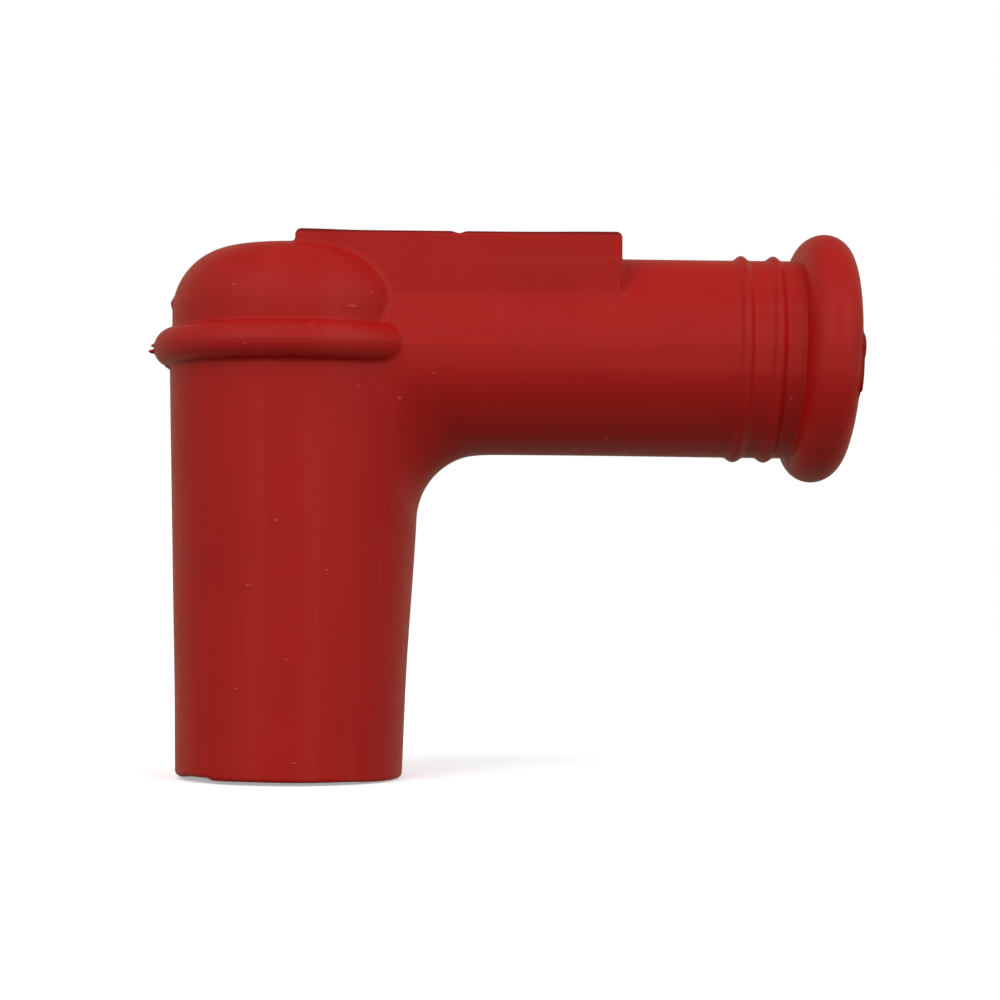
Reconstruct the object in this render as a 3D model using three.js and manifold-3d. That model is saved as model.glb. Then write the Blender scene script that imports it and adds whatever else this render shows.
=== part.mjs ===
// Right-angle cap for an ignition plug: a red silicone boot over a brass plug socket,
// a sprung contact, an interference resistor and a screw that bites into the lead.
// Millimetres. The plug axis is Z with the mouth at zero, and the lead leaves along X.
import * as THREE from "three";
import { LoftGeometry } from "three/addons/geometries/LoftGeometry.js";
import { mergeVertices } from "three/addons/utils/BufferGeometryUtils.js";
import Module from "manifold-3d";

const wasm = await Module();
wasm.setup();

// Barrel, the drafted sleeve that slides over the plug
const MOUTH_RADIUS = 11.1;
const BARREL_TOP_RADIUS = 12.55;
const PARTING_HEIGHT = 42; // where the two mould halves meet, also the axis of the outlet
const MOUTH_ROUND = 0.6;

// Collar bead and dome above it
const COLLAR_RADIUS = 14.1;
const COLLAR_ROUND = 2;
const DOME_RADIUS = 12.3;
const DOME_HEIGHT = 10.3;
const DOME_EDGE_ROUND = 6.6;

// Outlet for the lead, slightly oval, with two grip ribs and a thick end bead
const OUTLET_HALF_HEIGHT = 9.75;
const OUTLET_HALF_WIDTH = 9.1;
const OUTLET_LENGTH = 54.45;
const END_BEAD_HEIGHT = 2.6;
const END_BEAD_ROUND = 2.65;
const RIB_COUNT = 2;
const RIB_FIRST_X = 43.8;
const RIB_PITCH = 3.2;
const RIB_HEIGHT = 0.5;
const RIB_WIDTH = 1.7;
const ELBOW_ROUND = 7.2;

// Flat-sided pad on top, from the middle of the dome along the outlet
const PAD_START_X = 0.3;
const PAD_LENGTH = 31.5;
const PAD_WIDTH = 15.7;
const PAD_HEIGHT = 11.15;
const PAD_CORNER = 0.5;
const PAD_EDGE = 0.35; // round of the pad's long edges

// Well for the plug's insulator, with sealing lips and a shoulder that holds the socket
const WELL_RADIUS = 5.3;
const WELL_LEAD_IN = 1.5;
const WELL_LEAD_IN_LENGTH = 2.4;
const SEAL_COUNT = 2;
const SEAL_FIRST = 6;
const SEAL_PITCH = 5;
const SEAL_HEIGHT = 0.35;
const SEAL_WIDTH = 1.6;
const SHOULDER_GRIP = 0.5;
const SHOULDER_LENGTH = 1.8;

// Brass socket for the plug's terminal, with its wire clip
const TERMINAL_BORE_RADIUS = 3.5;
const TERMINAL_BORE_DEPTH = 9.6;
const TERMINAL_CHAMFER = 0.5;
const SOCKET_WALL = 1.2;
const SOCKET_LENGTH = 11;
const SOCKET_FLANGE = 0.3;
const SOCKET_FLANGE_LENGTH = 1.4;
const CLIP_WIRE_RADIUS = 0.4;
const CLIP_HEIGHT = 4.6;
const CLIP_PROUD = 0.15; // how far the wire stands out of the socket's side
const CLIP_GAP_ANGLE = 1.1;

// Contact block in the elbow and the spring that presses on it
const CONTACT_RADIUS = 4.3;
const CONTACT_HEIGHT = 8;
const CONTACT_FLAT_X = 3.6;
const SPRING_LENGTH = 5.4;
const SPRING_RADIUS = 2.3;
const SPRING_WIRE_RADIUS = 0.38;
const SPRING_TURNS = 4;

// Resistor: a ceramic rod between two pressed cups
const RESISTOR_RADIUS = 2.5;
const RESISTOR_LENGTH = 12;
const CUP_WALL = 0.3;
const CUP_FLOOR = 0.4;
const CUP_DEPTH = 3;

// Bore for the lead and the screw that grips it
const LEAD_RADIUS = 3.5;
const LEAD_SEAL_INSET = 3.4;
const LEAD_LEAD_IN = 1.1;
const SCREW_FLANGE_LENGTH = 1.5;
const SCREW_CORE_RADIUS = 1.35;
const SCREW_LENGTH = 11.5;
const SCREW_TIP_LENGTH = 4;
const THREAD_PITCH = 1.6;
const THREAD_RADIUS = 0.42;

// Fits
const CLEARANCE = 0.3;
const CUP_CLEARANCE = 0.06;

// Smoothness
const ROUND_STEPS = 64;
const SMALL_ROUND_STEPS = 36;
const ARC_STEPS = 7;
const OVERRUN = 1; // how far a cut runs past the surface that it opens

const barrelSlope = (BARREL_TOP_RADIUS - MOUTH_RADIUS) / PARTING_HEIGHT;
const barrelRadiusAt = (z) => MOUTH_RADIUS + barrelSlope * z;
const socketRadius = TERMINAL_BORE_RADIUS + SOCKET_WALL;
const flangeRadius = socketRadius + SOCKET_FLANGE;
const chamberRadius = flangeRadius + CLEARANCE;
const contactBottom = PARTING_HEIGHT - CONTACT_HEIGHT / 2;
const contactTop = PARTING_HEIGHT + CONTACT_HEIGHT / 2;
const socketBottom = contactBottom - SOCKET_LENGTH;
const shoulderBottom = socketBottom - SHOULDER_LENGTH;
const clipZ = socketBottom + CLIP_HEIGHT;
const clipRadius = socketRadius + CLIP_PROUD - CLIP_WIRE_RADIUS;
const resistorStart = CONTACT_FLAT_X + SPRING_LENGTH;
const resistorEnd = resistorStart + RESISTOR_LENGTH;
const cupRadius = RESISTOR_RADIUS + CUP_CLEARANCE + CUP_WALL;
const resistorBoreRadius = Math.max(cupRadius, SPRING_RADIUS + SPRING_WIRE_RADIUS) + CLEARANCE;
const screwStart = resistorEnd + SCREW_FLANGE_LENGTH;

const point = (radius, along) => new THREE.Vector2(radius, along);

// Points of a circular arc in a profile, ends included.
function arc(centreRadius, centreAlong, radius, from, to, steps = ARC_STEPS) {
  return Array.from({ length: steps + 1 }, (_, i) => {
    const angle = from + ((to - from) * i) / steps;
    return point(
      centreRadius + radius * Math.cos(angle),
      centreAlong + radius * Math.sin(angle),
    );
  });
}

// A closed three.js geometry as a solid, with vertices shared and empty faces dropped.
function solid(geometry) {
  const bare = new THREE.BufferGeometry();
  bare.setAttribute("position", geometry.getAttribute("position"));
  bare.setIndex(geometry.index);
  const merged = mergeVertices(bare, 1e-4);
  const faces = [];
  const index = merged.index.array;
  for (let i = 0; i < index.length; i += 3) {
    const [a, b, c] = [index[i], index[i + 1], index[i + 2]];
    if (a !== b && b !== c && c !== a) faces.push(a, b, c);
  }
  return new wasm.Manifold(
    new wasm.Mesh({
      numProp: 3,
      vertProperties: new Float32Array(merged.attributes.position.array),
      triVerts: new Uint32Array(faces),
    }),
  );
}

// A solid back as geometry with crisp normals.
function geometryOf(body) {
  const mesh = body.getMesh();
  const indexed = new THREE.BufferGeometry();
  indexed.setAttribute("position", new THREE.BufferAttribute(mesh.vertProperties, 3));
  indexed.setIndex(new THREE.BufferAttribute(mesh.triVerts, 1));
  const flat = indexed.toNonIndexed();
  flat.computeVertexNormals();
  return flat;
}

const union = (bodies) => bodies.reduce((a, b) => a.add(b));

// Turned about the plug axis. A profile runs from the axis outward, up and back.
const turnedZ = (profile, steps = ROUND_STEPS) =>
  solid(new THREE.LatheGeometry(profile, steps).rotateX(Math.PI / 2));

// Turned about the outlet axis, with widths across the outlet scaled for an oval.
const turnedX = (profile, steps = ROUND_STEPS, widthScale = 1) =>
  solid(
    new THREE.LatheGeometry(profile, steps)
      .rotateZ(-Math.PI / 2)
      .scale(1, 1, widthScale)
      .rotateX(Math.PI / 2)
      .translate(0, 0, PARTING_HEIGHT),
  );

const rod = (radius, from, to) => [
  point(0, from),
  point(radius, from),
  point(radius, to),
  point(0, to),
];

// Outer form: barrel, collar and dome

function barrel() {
  const wallAngle = Math.atan(barrelSlope);
  const centre = barrelRadiusAt(MOUTH_ROUND) - MOUTH_ROUND / Math.cos(wallAngle);
  return turnedZ([
    point(0, 0),
    ...arc(centre, MOUTH_ROUND, MOUTH_ROUND, -Math.PI / 2, -wallAngle, 4),
    point(BARREL_TOP_RADIUS, PARTING_HEIGHT),
    point(0, PARTING_HEIGHT),
  ]);
}

function collar() {
  const ring = arc(
    COLLAR_RADIUS - COLLAR_ROUND,
    PARTING_HEIGHT,
    COLLAR_ROUND,
    -Math.PI,
    Math.PI,
    2 * ARC_STEPS,
  );
  return turnedZ(ring);
}

function dome() {
  const top = PARTING_HEIGHT + DOME_HEIGHT;
  const edgeRound = Math.min(DOME_EDGE_ROUND, DOME_HEIGHT);
  return turnedZ([
    point(0, contactBottom),
    point(DOME_RADIUS - COLLAR_ROUND / 2, contactBottom),
    point(DOME_RADIUS, PARTING_HEIGHT),
    ...arc(DOME_RADIUS - edgeRound, top - edgeRound, edgeRound, 0, Math.PI / 2, 9),
    point(0, top),
  ]);
}

// Outer form: outlet with its ribs and end bead

function outlet() {
  const ovality = OUTLET_HALF_WIDTH / OUTLET_HALF_HEIGHT;
  const beadCentre = OUTLET_HALF_HEIGHT + END_BEAD_HEIGHT - END_BEAD_ROUND;
  const beadX = OUTLET_LENGTH - END_BEAD_ROUND;
  const rise = Math.min(1, (OUTLET_HALF_HEIGHT - beadCentre) / END_BEAD_ROUND);
  const tube = [point(0, 0), point(OUTLET_HALF_HEIGHT, 0)];
  for (let i = 0; i < RIB_COUNT; i++) {
    const ribX = RIB_FIRST_X + i * RIB_PITCH;
    for (let k = 0; k <= 6; k++) {
      const share = k / 6 - 1 / 2;
      const bump = Math.cos(Math.PI * share) ** 1.5;
      tube.push(point(OUTLET_HALF_HEIGHT + RIB_HEIGHT * bump, ribX + RIB_WIDTH * share));
    }
  }
  tube.push(
    ...arc(beadCentre, beadX, END_BEAD_ROUND, -Math.acos(rise), Math.PI / 2, 2 * ARC_STEPS),
    point(0, OUTLET_LENGTH),
  );
  return turnedX(tube, ROUND_STEPS, ovality);
}

// Inner corner of the elbow, rounded as by a ball that rolls between barrel and outlet.
function elbow() {
  const wallAngle = Math.atan(barrelSlope);
  const sink = MOUTH_ROUND;
  const arcSteps = 8;
  const sectionAt = (turn) => {
    const contact = new THREE.Vector3(
      0,
      -OUTLET_HALF_WIDTH * Math.cos(turn),
      PARTING_HEIGHT - OUTLET_HALF_HEIGHT * Math.sin(turn),
    );
    const outletNormal = new THREE.Vector3(
      0,
      -Math.cos(turn) / OUTLET_HALF_WIDTH,
      -Math.sin(turn) / OUTLET_HALF_HEIGHT,
    ).normalize();
    const ball = contact.clone().addScaledVector(outletNormal, ELBOW_ROUND);
    const reach = barrelRadiusAt(ball.z) + ELBOW_ROUND / Math.cos(wallAngle);
    ball.x = Math.sqrt(reach ** 2 - ball.y ** 2);
    contact.x = ball.x;
    const barrelNormal = new THREE.Vector3(
      (ball.x / reach) * Math.cos(wallAngle),
      (ball.y / reach) * Math.cos(wallAngle),
      -Math.sin(wallAngle),
    );
    const corner = contact.clone();
    corner.x = Math.sqrt(barrelRadiusAt(contact.z) ** 2 - contact.y ** 2);
    corner.addScaledVector(outletNormal, -sink).addScaledVector(barrelNormal, -sink);
    const section = [contact.clone().addScaledVector(outletNormal, -sink)];
    const opening = outletNormal.angleTo(barrelNormal);
    for (let i = 0; i <= arcSteps; i++) {
      const share = i / arcSteps;
      const toward = outletNormal
        .clone()
        .multiplyScalar(Math.sin((1 - share) * opening))
        .addScaledVector(barrelNormal, Math.sin(share * opening))
        .divideScalar(Math.sin(opening));
      section.push(ball.clone().addScaledVector(toward, -ELBOW_ROUND));
    }
    section.push(section.at(-1).clone().addScaledVector(barrelNormal, -sink), corner);
    return section;
  };
  const stations = 22;
  const sections = Array.from({ length: stations + 1 }, (_, i) =>
    sectionAt((Math.PI * i) / stations),
  );
  return solid(new LoftGeometry(sections, { capStart: true, capEnd: true }));
}

function pad() {
  const outline = new THREE.Shape();
  const end = PAD_START_X + PAD_LENGTH;
  outline.moveTo(PAD_START_X, 0);
  outline.lineTo(end, 0);
  outline.lineTo(end, PAD_HEIGHT - PAD_CORNER);
  outline.absarc(end - PAD_CORNER, PAD_HEIGHT - PAD_CORNER, PAD_CORNER, 0, Math.PI / 2);
  outline.lineTo(PAD_START_X + PAD_CORNER, PAD_HEIGHT);
  outline.absarc(
    PAD_START_X + PAD_CORNER,
    PAD_HEIGHT - PAD_CORNER,
    PAD_CORNER,
    Math.PI / 2,
    Math.PI,
  );
  return solid(
    new THREE.ExtrudeGeometry(outline, {
      depth: PAD_WIDTH - 2 * PAD_EDGE,
      curveSegments: 4,
      bevelThickness: PAD_EDGE,
      bevelSize: PAD_EDGE,
      bevelOffset: -PAD_EDGE,
      bevelSegments: 2,
    })
      .rotateX(Math.PI / 2)
      .translate(0, PAD_WIDTH / 2 - PAD_EDGE, PARTING_HEIGHT),
  );
}

// Cavities

// A soft sealing lip inside a bore, as profile points.
const sealPoints = (bore, along) => [
  point(bore, along - SEAL_WIDTH / 2),
  point(bore - SEAL_HEIGHT, along - SEAL_WIDTH / 6),
  point(bore - SEAL_HEIGHT, along + SEAL_WIDTH / 6),
  point(bore, along + SEAL_WIDTH / 2),
];

function plugCavity() {
  const well = [
    point(0, -OVERRUN),
    point(WELL_RADIUS + WELL_LEAD_IN, -OVERRUN),
    point(WELL_RADIUS + WELL_LEAD_IN, 0),
    point(WELL_RADIUS, WELL_LEAD_IN_LENGTH),
  ];
  for (let i = 0; i < SEAL_COUNT; i++)
    well.push(...sealPoints(WELL_RADIUS, SEAL_FIRST + i * SEAL_PITCH));
  well.push(point(WELL_RADIUS, shoulderBottom), point(0, shoulderBottom));
  const passage = flangeRadius - SHOULDER_GRIP;
  return union([
    turnedZ(well, SMALL_ROUND_STEPS),
    turnedZ(rod(passage, shoulderBottom - OVERRUN, contactBottom), SMALL_ROUND_STEPS),
    turnedZ(rod(chamberRadius, socketBottom, contactBottom), SMALL_ROUND_STEPS),
    turnedZ(rod(CONTACT_RADIUS + CLEARANCE, contactBottom - OVERRUN, contactTop), SMALL_ROUND_STEPS),
  ]);
}

function leadCavity() {
  const sealX = OUTLET_LENGTH - LEAD_SEAL_INSET;
  return union([
    turnedX(rod(resistorBoreRadius, 0, resistorEnd + OVERRUN), SMALL_ROUND_STEPS),
    turnedX(
      [
        point(0, resistorEnd),
        point(LEAD_RADIUS, resistorEnd),
        ...sealPoints(LEAD_RADIUS, sealX),
        point(LEAD_RADIUS, OUTLET_LENGTH - LEAD_LEAD_IN),
        point(LEAD_RADIUS + LEAD_LEAD_IN, OUTLET_LENGTH),
        point(LEAD_RADIUS + LEAD_LEAD_IN, OUTLET_LENGTH + OVERRUN),
        point(0, OUTLET_LENGTH + OVERRUN),
      ],
      SMALL_ROUND_STEPS,
    ),
  ]);
}

function boot() {
  const outside = union([barrel(), collar(), dome(), outlet(), elbow(), pad()]);
  return outside.subtract(plugCavity()).subtract(leadCavity());
}

// Socket and clip

function plugSocket() {
  const flangeTop = socketBottom + SOCKET_FLANGE_LENGTH;
  const grooveRadius = clipRadius - CLIP_WIRE_RADIUS - CUP_CLEARANCE;
  const grooveHalf = CLIP_WIRE_RADIUS + CUP_CLEARANCE;
  const boreTop = socketBottom + TERMINAL_BORE_DEPTH;
  const mouthRadius = TERMINAL_BORE_RADIUS + TERMINAL_CHAMFER;
  const outside = [
    point(0, socketBottom),
    point(flangeRadius, socketBottom),
    point(flangeRadius, flangeTop),
    point(socketRadius, flangeTop),
    point(socketRadius, clipZ - grooveHalf),
    point(grooveRadius, clipZ - grooveHalf),
    point(grooveRadius, clipZ + grooveHalf),
    point(socketRadius, clipZ + grooveHalf),
    point(socketRadius, contactBottom),
    point(0, contactBottom),
  ];
  const bore = [
    point(0, socketBottom - OVERRUN),
    point(mouthRadius, socketBottom - OVERRUN),
    point(mouthRadius, socketBottom),
    point(TERMINAL_BORE_RADIUS, socketBottom + TERMINAL_CHAMFER),
    point(TERMINAL_BORE_RADIUS, boreTop),
    point(0, boreTop),
  ];
  return turnedZ(outside, SMALL_ROUND_STEPS).subtract(turnedZ(bore, SMALL_ROUND_STEPS));
}

// Open wire ring that sits in the socket's groove.
function socketClip() {
  const wire = new THREE.Shape().absarc(0, 0, CLIP_WIRE_RADIUS, 0, 2 * Math.PI);
  class Hoop extends THREE.Curve {
    getPoint(t, target = new THREE.Vector3()) {
      const angle = CLIP_GAP_ANGLE / 2 + t * (2 * Math.PI - CLIP_GAP_ANGLE);
      return target.set(clipRadius * Math.cos(angle), clipRadius * Math.sin(angle), clipZ);
    }
  }
  return solid(
    new THREE.ExtrudeGeometry(wire, {
      steps: SMALL_ROUND_STEPS,
      extrudePath: new Hoop(),
      curveSegments: 3,
    }),
  );
}

// Contact, spring and resistor

function contactBlock() {
  const turned = turnedZ(rod(CONTACT_RADIUS, contactBottom, contactTop), SMALL_ROUND_STEPS);
  const cut = new THREE.BoxGeometry(CONTACT_RADIUS, 2 * CONTACT_RADIUS, 2 * CONTACT_HEIGHT);
  cut.translate(CONTACT_FLAT_X + CONTACT_RADIUS / 2, 0, PARTING_HEIGHT);
  return turned.subtract(solid(cut));
}

// A wire wound about the outlet axis, its radius given along its length.
class Helix extends THREE.Curve {
  constructor(start, length, turns, radiusAt) {
    super();
    Object.assign(this, { start, length, turns, radiusAt });
  }
  getPoint(t, target = new THREE.Vector3()) {
    const angle = 2 * Math.PI * this.turns * t;
    const radius = this.radiusAt(t);
    return target.set(
      this.start + this.length * t,
      radius * Math.cos(angle),
      PARTING_HEIGHT + radius * Math.sin(angle),
    );
  }
}

const woundWire = (helix, wireRadius, stepsPerTurn) =>
  solid(
    new THREE.ExtrudeGeometry(new THREE.Shape().absarc(0, 0, wireRadius, 0, 2 * Math.PI), {
      steps: Math.round(helix.turns * stepsPerTurn),
      extrudePath: helix,
      curveSegments: 3,
    }),
  );

// Coil with both ends ground flat, so that it seats on the block and on the cup.
function contactSpring() {
  const coil = woundWire(
    new Helix(CONTACT_FLAT_X, SPRING_LENGTH, SPRING_TURNS, () => SPRING_RADIUS),
    SPRING_WIRE_RADIUS,
    14,
  );
  const across = 4 * SPRING_RADIUS;
  const kept = new THREE.BoxGeometry(SPRING_LENGTH, across, across);
  kept.translate(CONTACT_FLAT_X + SPRING_LENGTH / 2, 0, PARTING_HEIGHT);
  return coil.intersect(solid(kept));
}

const resistorRod = () =>
  turnedX(
    rod(RESISTOR_RADIUS, resistorStart + CUP_FLOOR, resistorEnd - CUP_FLOOR),
    SMALL_ROUND_STEPS,
  );

// A pressed cup whose floor closes one end of the rod. Facing is 1 or -1 along X.
function resistorCup(floorX, facing) {
  const along = [0, CUP_FLOOR, CUP_DEPTH].map((depth) => floorX + facing * depth);
  const inner = cupRadius - CUP_WALL;
  const profile = [
    point(0, along[0]),
    point(cupRadius - CUP_CLEARANCE, along[0]),
    point(cupRadius, along[0] + facing * CUP_CLEARANCE),
    point(cupRadius, along[2]),
    point(inner, along[2]),
    point(inner, along[1]),
    point(0, along[1]),
  ];
  return turnedX(facing > 0 ? profile : profile.reverse(), SMALL_ROUND_STEPS);
}

// Wood-screw contact on a flange, for the strands of the lead.
function leadScrew() {
  const end = screwStart + SCREW_LENGTH;
  const tipStart = end - Math.min(SCREW_TIP_LENGTH, SCREW_LENGTH);
  const body = turnedX(
    [
      point(0, resistorEnd),
      point(LEAD_RADIUS - CLEARANCE, resistorEnd),
      point(LEAD_RADIUS - CLEARANCE, screwStart),
      point(SCREW_CORE_RADIUS, screwStart),
      point(SCREW_CORE_RADIUS, tipStart),
      point(0, end),
    ],
    SMALL_ROUND_STEPS,
  );
  const threadStart = screwStart - THREAD_RADIUS / 2;
  const threadEnd = end - THREAD_PITCH / 2;
  const length = threadEnd - threadStart;
  const coreAt = (t) => {
    const left = end - (threadStart + length * t);
    return SCREW_CORE_RADIUS * Math.min(1, left / (end - tipStart));
  };
  const ridge = new Helix(threadStart, length, length / THREAD_PITCH, coreAt);
  return body.add(woundWire(ridge, THREAD_RADIUS, 12));
}

// Materials

const silicone = () =>
  new THREE.MeshStandardMaterial({ color: 0xa8281f, roughness: 0.6, metalness: 0 });
const brass = () =>
  new THREE.MeshStandardMaterial({ color: 0xb8923f, roughness: 0.35, metalness: 1 });
const steel = () =>
  new THREE.MeshStandardMaterial({ color: 0x9a9c9e, roughness: 0.3, metalness: 1 });
const ceramic = () =>
  new THREE.MeshStandardMaterial({ color: 0xd9d2c2, roughness: 0.5, metalness: 0 });

const cap = new THREE.Group();

function place(name, body, material) {
  const mesh = new THREE.Mesh(geometryOf(body), material);
  mesh.name = name;
  cap.add(mesh);
}

place("boot", boot(), silicone());
place("plug_socket", plugSocket(), brass());
place("socket_clip", socketClip(), steel());
place("contact_block", contactBlock(), brass());
place("contact_spring", contactSpring(), steel());
place("resistor_rod", resistorRod(), ceramic());
place("resistor_cup_inner", resistorCup(resistorStart, 1), steel());
place("resistor_cup_outer", resistorCup(resistorEnd, -1), steel());
place("lead_screw", leadScrew(), brass());

export default cap;
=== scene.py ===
import itertools
import math

import bpy
import numpy as np
from mathutils import Matrix, Vector


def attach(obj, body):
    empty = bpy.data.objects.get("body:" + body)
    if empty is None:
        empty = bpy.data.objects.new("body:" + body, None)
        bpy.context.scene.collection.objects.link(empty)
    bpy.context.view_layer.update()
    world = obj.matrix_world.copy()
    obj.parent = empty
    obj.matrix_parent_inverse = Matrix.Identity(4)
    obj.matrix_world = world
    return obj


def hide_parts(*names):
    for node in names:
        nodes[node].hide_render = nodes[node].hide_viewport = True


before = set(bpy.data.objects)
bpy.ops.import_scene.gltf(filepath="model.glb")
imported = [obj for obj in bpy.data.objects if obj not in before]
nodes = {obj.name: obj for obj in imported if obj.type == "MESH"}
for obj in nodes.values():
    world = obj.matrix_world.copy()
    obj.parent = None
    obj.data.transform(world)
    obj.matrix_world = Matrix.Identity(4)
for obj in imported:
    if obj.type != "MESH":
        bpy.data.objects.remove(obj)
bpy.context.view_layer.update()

MM = 0.001

# Sizes of the boot in millimetres. The plug axis is Z, the outlet runs along X.
# A pair whose name ends in X, Y or Z says where a bore or a change along that axis starts and ends.

# Barrel and its mouth
MOUTH_RADIUS = 11.1
BARREL_TOP_RADIUS = 12.55
PARTING_HEIGHT = 42.0
BARREL_SLOPE = (BARREL_TOP_RADIUS - MOUTH_RADIUS) / PARTING_HEIGHT
BARREL_COSINE = 1 / math.sqrt(1 + BARREL_SLOPE**2)
BARREL_LEAN = 0.0096
BARREL_SWELL = 0.22
BARREL_SWELL_Z = (10, 25)
BARREL_SWELL_X = (2, 11)
MOUTH_FLARE = 0.07
MOUTH_FLARE_Z = (9, 0)
MOUTH_ROUND = 0.42
MOUTH_ROUND_LOSS = 0.13
MOUTH_ROUND_X = (-10, 10)
# Waves of the lower edge, as size, number round the mouth and phase
MOUTH_WAVES = ((0.02, 3, 0.6), (0.015, 7, 2.0))
MOUTH_DROP = 0.15
MOUTH_DROP_X = (4, 10)
TEAR_DEPTH = 0.24
TEAR_INNER_X = (-7.2, -7.9)
TEAR_OUTER_X = (-10.9, -9.8)
TEAR_Y = (-3, -5)

# Ring, dome and parting line
COLLAR_RADIUS = 14.1
COLLAR_ROUND = 2.0
COLLAR_FLATTENING = 1.09
COLLAR_CREASE = 0.25
DOME_RADIUS = 12.3
DOME_TOP = 52.2
DOME_EDGE_ROUND = 6.6
DOME_OVERLAP = 1
SEAM_WIDTH = 0.07
SEAM_RIDGE = 0.012
SEAM_SAG = 0.27
SEAM_SAG_X = (9, 14)
SEAM_RISE_X = (20, 50)

# Outlet with its ribs and end bead
OUTLET_LENGTH = 54.45
OUTLET_HALF_HEIGHT = 9.72
OUTLET_HALF_WIDTH = 9.1
OUTLET_DROP = 0.45
OUTLET_SAG = 0.13
OUTLET_SAG_X = (25, 50)
OUTLET_CREASE = 0.42
# Ribs, as place along the outlet and shift for each millimetre below RIB_TURN_TOP
RIB_PLACES = ((43.8, 0.0), (47.0, -0.007))
RIB_TURN_TOP = 9
RIB_HEIGHT = 0.58
RIB_HEIGHT_GAIN = 0.0125
RIB_WIDTH = 1.85
RIB_SHARPNESS = 1.4
RIB_LEAN = math.radians(1.64)
RIB_YAW = math.radians(0.2)
END_BEAD_ROUND = 2.66
END_BEAD_CENTRE = 9.7
END_BEAD_DROP = 0.32
END_BEAD_OUT = 0.05
END_BEAD_LEAN = math.radians(2.27)
END_BEAD_YAW = math.radians(2.9)
END_BEAD_CREASE = 0.32
END_BEAD_CORE_X = 20

# Rolled inner corner of the elbow
ELBOW_ROUND = 6.6
ELBOW_START_X = 4
ELBOW_END_X = 24
ELBOW_BOTTOM = 20
ELBOW_FADE = 0.6
ELBOW_FADE_X = (17, 23.5)
# No corner is rolled where the cosine between the two sides is above this
ELBOW_COSINE = 0.985

# Pad on top
PAD_START_X = 0.1
PAD_END_X = 31.8
PAD_HALF_WIDTH = 7.85
PAD_TOP = 53.15
PAD_CORNER = 0.6
PAD_EDGE = 0.35
PAD_CREASE = 0.5
PAD_FAR_RISE = 0.10
PAD_FAR_RISE_X = (20, 32)
PAD_NEAR_RISE = 0.12
PAD_NEAR_RISE_X = (7, 0)
NOTCH_X = 15.95
NOTCH_DEPTH = 0.2
NOTCH_HALF_WIDTH = 0.65
NOTCH_SIDE = 0.5

# Bores
WELL_RADIUS = 5.3
WELL_TOP = 25.2
WELL_FUNNEL_HEIGHT = 2.4
WELL_FUNNEL_OUT = 1.5
WELL_LIP_PLACES = (6, 11)
LIP_HEIGHT = 0.35
LIP_WIDTH = 1.6
LIP_SHARPNESS = 1.2
PASSAGE_RADIUS = 4.5
PASSAGE_Z = (20, 38)
CHAMBER_RADIUS = 5.3
CHAMBER_Z = (27, 38)
CONTACT_RADIUS = 4.6
CONTACT_Z = (37, 46)
ROD_RADIUS = 3.16
ROD_X = (0, 22)
LEAD_RADIUS = 3.5
LEAD_START_X = 21
LEAD_LIP_X = OUTLET_LENGTH - 3.4
LEAD_FLARE_X = OUTLET_LENGTH - 1.5
LEAD_FLARE = 0.5
BORE_EDGE = 0.3

# Lumps of flash, as middle and half sizes: two on the ring, one above it and one below
RING_FLASH = (
    ((-13.92, -0.6, 42.3), (0.45, 1.8, 0.14)),
    ((-14.1, -1.0, 41.7), (0.5, 0.6, 0.2)),
    ((-12.15, -1.0, 46.5), (0.3, 0.3, 0.55)),
    ((-12.45, -1.0, 40.3), (0.5, 0.6, 0.26)),
)
END_FLASH = (
    ((OUTLET_LENGTH - 0.1, -9.5, 0.3), (0.36, 0.6, 1.5)),
    ((OUTLET_LENGTH - 0.1, -9.5, -1.5), (0.26, 0.6, 2.8)),
)

# Grid lines of the boot's mesh, as start, end and step of stretches that join end to end.
# They are close together where the surface bends sharply.
GRID_X = (
    (-15.0, -13.3, 0.24),
    (-13.3, -0.1, 0.44),
    (-0.1, 1.2, 0.2),
    (1.2, 21.6, 0.42),
    (21.6, 30.8, 0.7),
    (30.8, 32.1, 0.2),
    (32.1, 42.4, 0.8),
    (42.4, 49.0, 0.21),
    (49.0, 51.9, 0.15),
    (51.9, 55.8, 0.33),
)
GRID_HALF_Y = ((0, 7.2, 0.45), (7.2, 8.1, 0.18), (8.1, 14.8, 0.42))
GRID_Z = (
    (-0.5, 1.2, 0.2),
    (1.2, 4.8, 0.6),
    (4.8, 12.4, 0.45),
    (12.4, 24.8, 0.9),
    (24.8, 39.6, 0.42),
    (39.6, 41.74, 0.22),
    (41.74, 42.26, 0.052),
    (42.26, 44.4, 0.22),
    (44.4, 51.9, 0.4),
    (51.9, 54.5, 0.19),
)
PLANES_AT_ONCE = 16
SETTLING_ROUNDS = 3
LONGEST_MOVE = 0.15
LEAST_SLOPE_SQUARED = 0.25
SLOPE_STEP = 0.01


# Helpers for distances, which are negative inside the rubber


def rounded_both(a, b, radius):
    """Where both a and b are inside, with a convex edge of this radius."""
    a, b = a + radius, b + radius
    outside = np.hypot(np.maximum(a, 0), np.maximum(b, 0))
    return np.minimum(np.maximum(a, b), 0) + outside - radius


def soft_union(a, b, width):
    """Union with a small concave round."""
    overlap = np.maximum(width - np.abs(a - b), 0)
    return np.minimum(a, b) - overlap * overlap / (4 * width)


def soft_cut(a, b, width):
    """a without b, with a small convex round at the edge."""
    overlap = np.maximum(width - np.abs(a + b), 0)
    return np.maximum(a, -b) + overlap * overlap / (4 * width)


def smooth_step(start, end, value):
    """0 before the start, 1 past the end. The end may be the smaller of the two."""
    share = np.clip((value - start) / (end - start), 0, 1)
    return share * share * (3 - 2 * share)


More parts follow.
